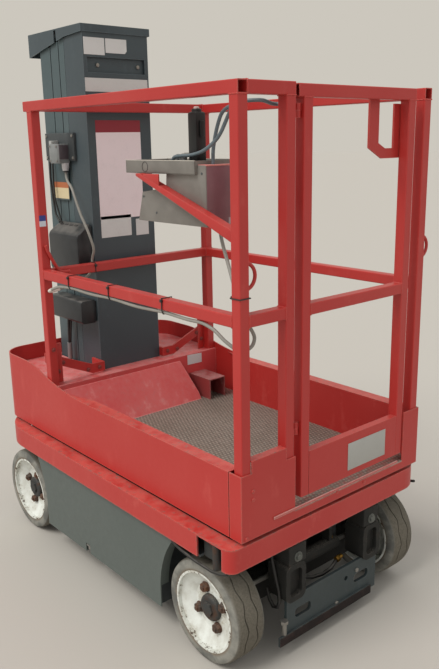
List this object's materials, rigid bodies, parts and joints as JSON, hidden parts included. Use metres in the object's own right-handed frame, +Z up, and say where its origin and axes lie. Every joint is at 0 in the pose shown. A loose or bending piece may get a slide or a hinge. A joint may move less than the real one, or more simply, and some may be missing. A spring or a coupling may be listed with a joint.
{
  "type": "vertical mast lift",
  "caption": "Low wheeled vertical mast lift with a red tray platform, tube railing, swing gate and nested steel mast.",
  "frame": {"origin": "On the ground under the middle of the overall box of the lowered machine.", "axes": "+X points to the mast end, +Y to the machine's left, +Z up. The gate is at -X."},
  "size_m": [1.35, 0.8, 1.748],
  "materials": {
    "frame_grey": "satin grey paint, worn",
    "rim_red": "red paint, scuffed along its edge",
    "tray_red": "red paint, scuffed along its edges",
    "rail_red": "red paint over square tube",
    "gate_red": "red paint over square tube",
    "cover_grey": "satin grey-green paint",
    "mast_grey": "satin dark grey paint",
    "stage_grey": "satin blue-grey paint",
    "floor_steel": "worn tread plate",
    "slope_red": "red paint, scuffed by feet",
    "tyre_grey": "grey solid tyre, dusty",
    "rim_white": "off-white paint with rust chips",
    "hub_iron": "rusty cast hub",
    "axle_iron": "dark dusty castings",
    "plate_iron": "dark grey paint, dusty",
    "pin_rust": "rusty steel",
    "battery_black": "black cases",
    "box_grey": "grey moulded box",
    "box_black": "black moulded cover",
    "guard_red": "red paint, scuffed",
    "console_grey": "plain grey sheet"
  },
  "bodies": {
    "chassis": {"chassis_frame": "frame_grey", "deck_rim": "rim_red", "lock_pins": "pin_rust", "side_cover_left": "cover_grey", "side_cover_right": "cover_grey", "battery_pack": "battery_black", "front_spindles": "axle_iron", "rear_axle": "axle_iron", "steer_cylinder": "plate_iron", "entry_plate": "plate_iron", "mast_base": "stage_grey"},
    "knuckle_left": {"knuckle_left": "axle_iron"},
    "knuckle_right": {"knuckle_right": "axle_iron"},
    "steering_rod": {"steer_rod": "hub_iron"},
    "second_stage": {"mast_second": "stage_grey"},
    "third_stage": {"mast_third": "stage_grey"},
    "platform": {"carriage": "mast_grey", "mast_cap": "mast_grey", "tray_wall": "tray_red", "rear_panel": "tray_red", "floor_plate": "floor_steel", "mast_cover": "tray_red", "slope_panel": "slope_red", "rail_frame": "rail_red", "connector_box": "box_grey", "moulded_cover": "box_black", "lower_box": "box_black", "foot_guard": "guard_red", "console_braces": "rail_red", "console_case": "console_grey", "console_tray": "console_grey", "control_box": "box_black"},
    "gate": {"gate_frame": "gate_red"},
    "wheel_front_left": {"tyre_front_left": "tyre_grey", "rim_front_left": "rim_white", "hub_front_left": "hub_iron"},
    "wheel_front_right": {"tyre_front_right": "tyre_grey", "rim_front_right": "rim_white", "hub_front_right": "hub_iron"},
    "wheel_rear_left": {"tyre_rear_left": "tyre_grey", "rim_rear_left": "rim_white", "hub_rear_left": "hub_iron"},
    "wheel_rear_right": {"tyre_rear_right": "tyre_grey", "rim_rear_right": "rim_white", "hub_rear_right": "hub_iron"}
  },
  "joints": [
    {"name": "second_lift", "type": "slide", "parent": "chassis", "child": "second_stage", "axis": [0, 0, 1], "range_m": [0, 1.08]},
    {"name": "third_lift", "type": "slide", "parent": "second_stage", "child": "third_stage", "axis": [0, 0, 1], "range_m": [0, 1.08]},
    {"name": "platform_lift", "type": "slide", "parent": "third_stage", "child": "platform", "axis": [0, 0, 1], "range_m": [0, 1.08]},
    {"name": "gate_hinge", "type": "hinge", "parent": "platform", "child": "gate", "pos_m": [-0.6567, 0.156, 1], "axis": [0, 0, 1], "range_deg": [0, 80]},
    {"name": "steer_left", "type": "hinge", "parent": "chassis", "child": "knuckle_left", "pos_m": [-0.525, 0.288, 0.148], "axis": [0, 0, 1], "range_deg": [-25, 25]},
    {"name": "steer_right", "type": "hinge", "parent": "chassis", "child": "knuckle_right", "pos_m": [-0.525, -0.288, 0.148], "axis": [0, 0, 1], "range_deg": [-25, 25]},
    {"name": "steer_rod_slide", "type": "slide", "parent": "chassis", "child": "steering_rod", "axis": [0, 1, 0], "range_m": [-0.026, 0.026]},
    {"name": "front_left_roll", "type": "hinge", "parent": "chassis", "child": "wheel_front_left", "pos_m": [0.479, 0.324, 0.148], "axis": [0, 1, 0], "continuous": true},
    {"name": "front_right_roll", "type": "hinge", "parent": "chassis", "child": "wheel_front_right", "pos_m": [0.479, -0.324, 0.148], "axis": [0, 1, 0], "continuous": true},
    {"name": "rear_left_roll", "type": "hinge", "parent": "knuckle_left", "child": "wheel_rear_left", "pos_m": [-0.525, 0.324, 0.148], "axis": [0, 1, 0], "continuous": true},
    {"name": "rear_right_roll", "type": "hinge", "parent": "knuckle_right", "child": "wheel_rear_right", "pos_m": [-0.525, -0.324, 0.148], "axis": [0, 1, 0], "continuous": true}
  ],
  "couplings": [
    {"joint": "third_lift", "follows": "second_lift", "ratio": 1},
    {"joint": "platform_lift", "follows": "second_lift", "ratio": 1},
    {"joint": "steer_right", "follows": "steer_left", "ratio": 1},
    {"joint": "steer_rod_slide", "follows": "steer_left", "m_per_rad": -0.0583}
  ]
}
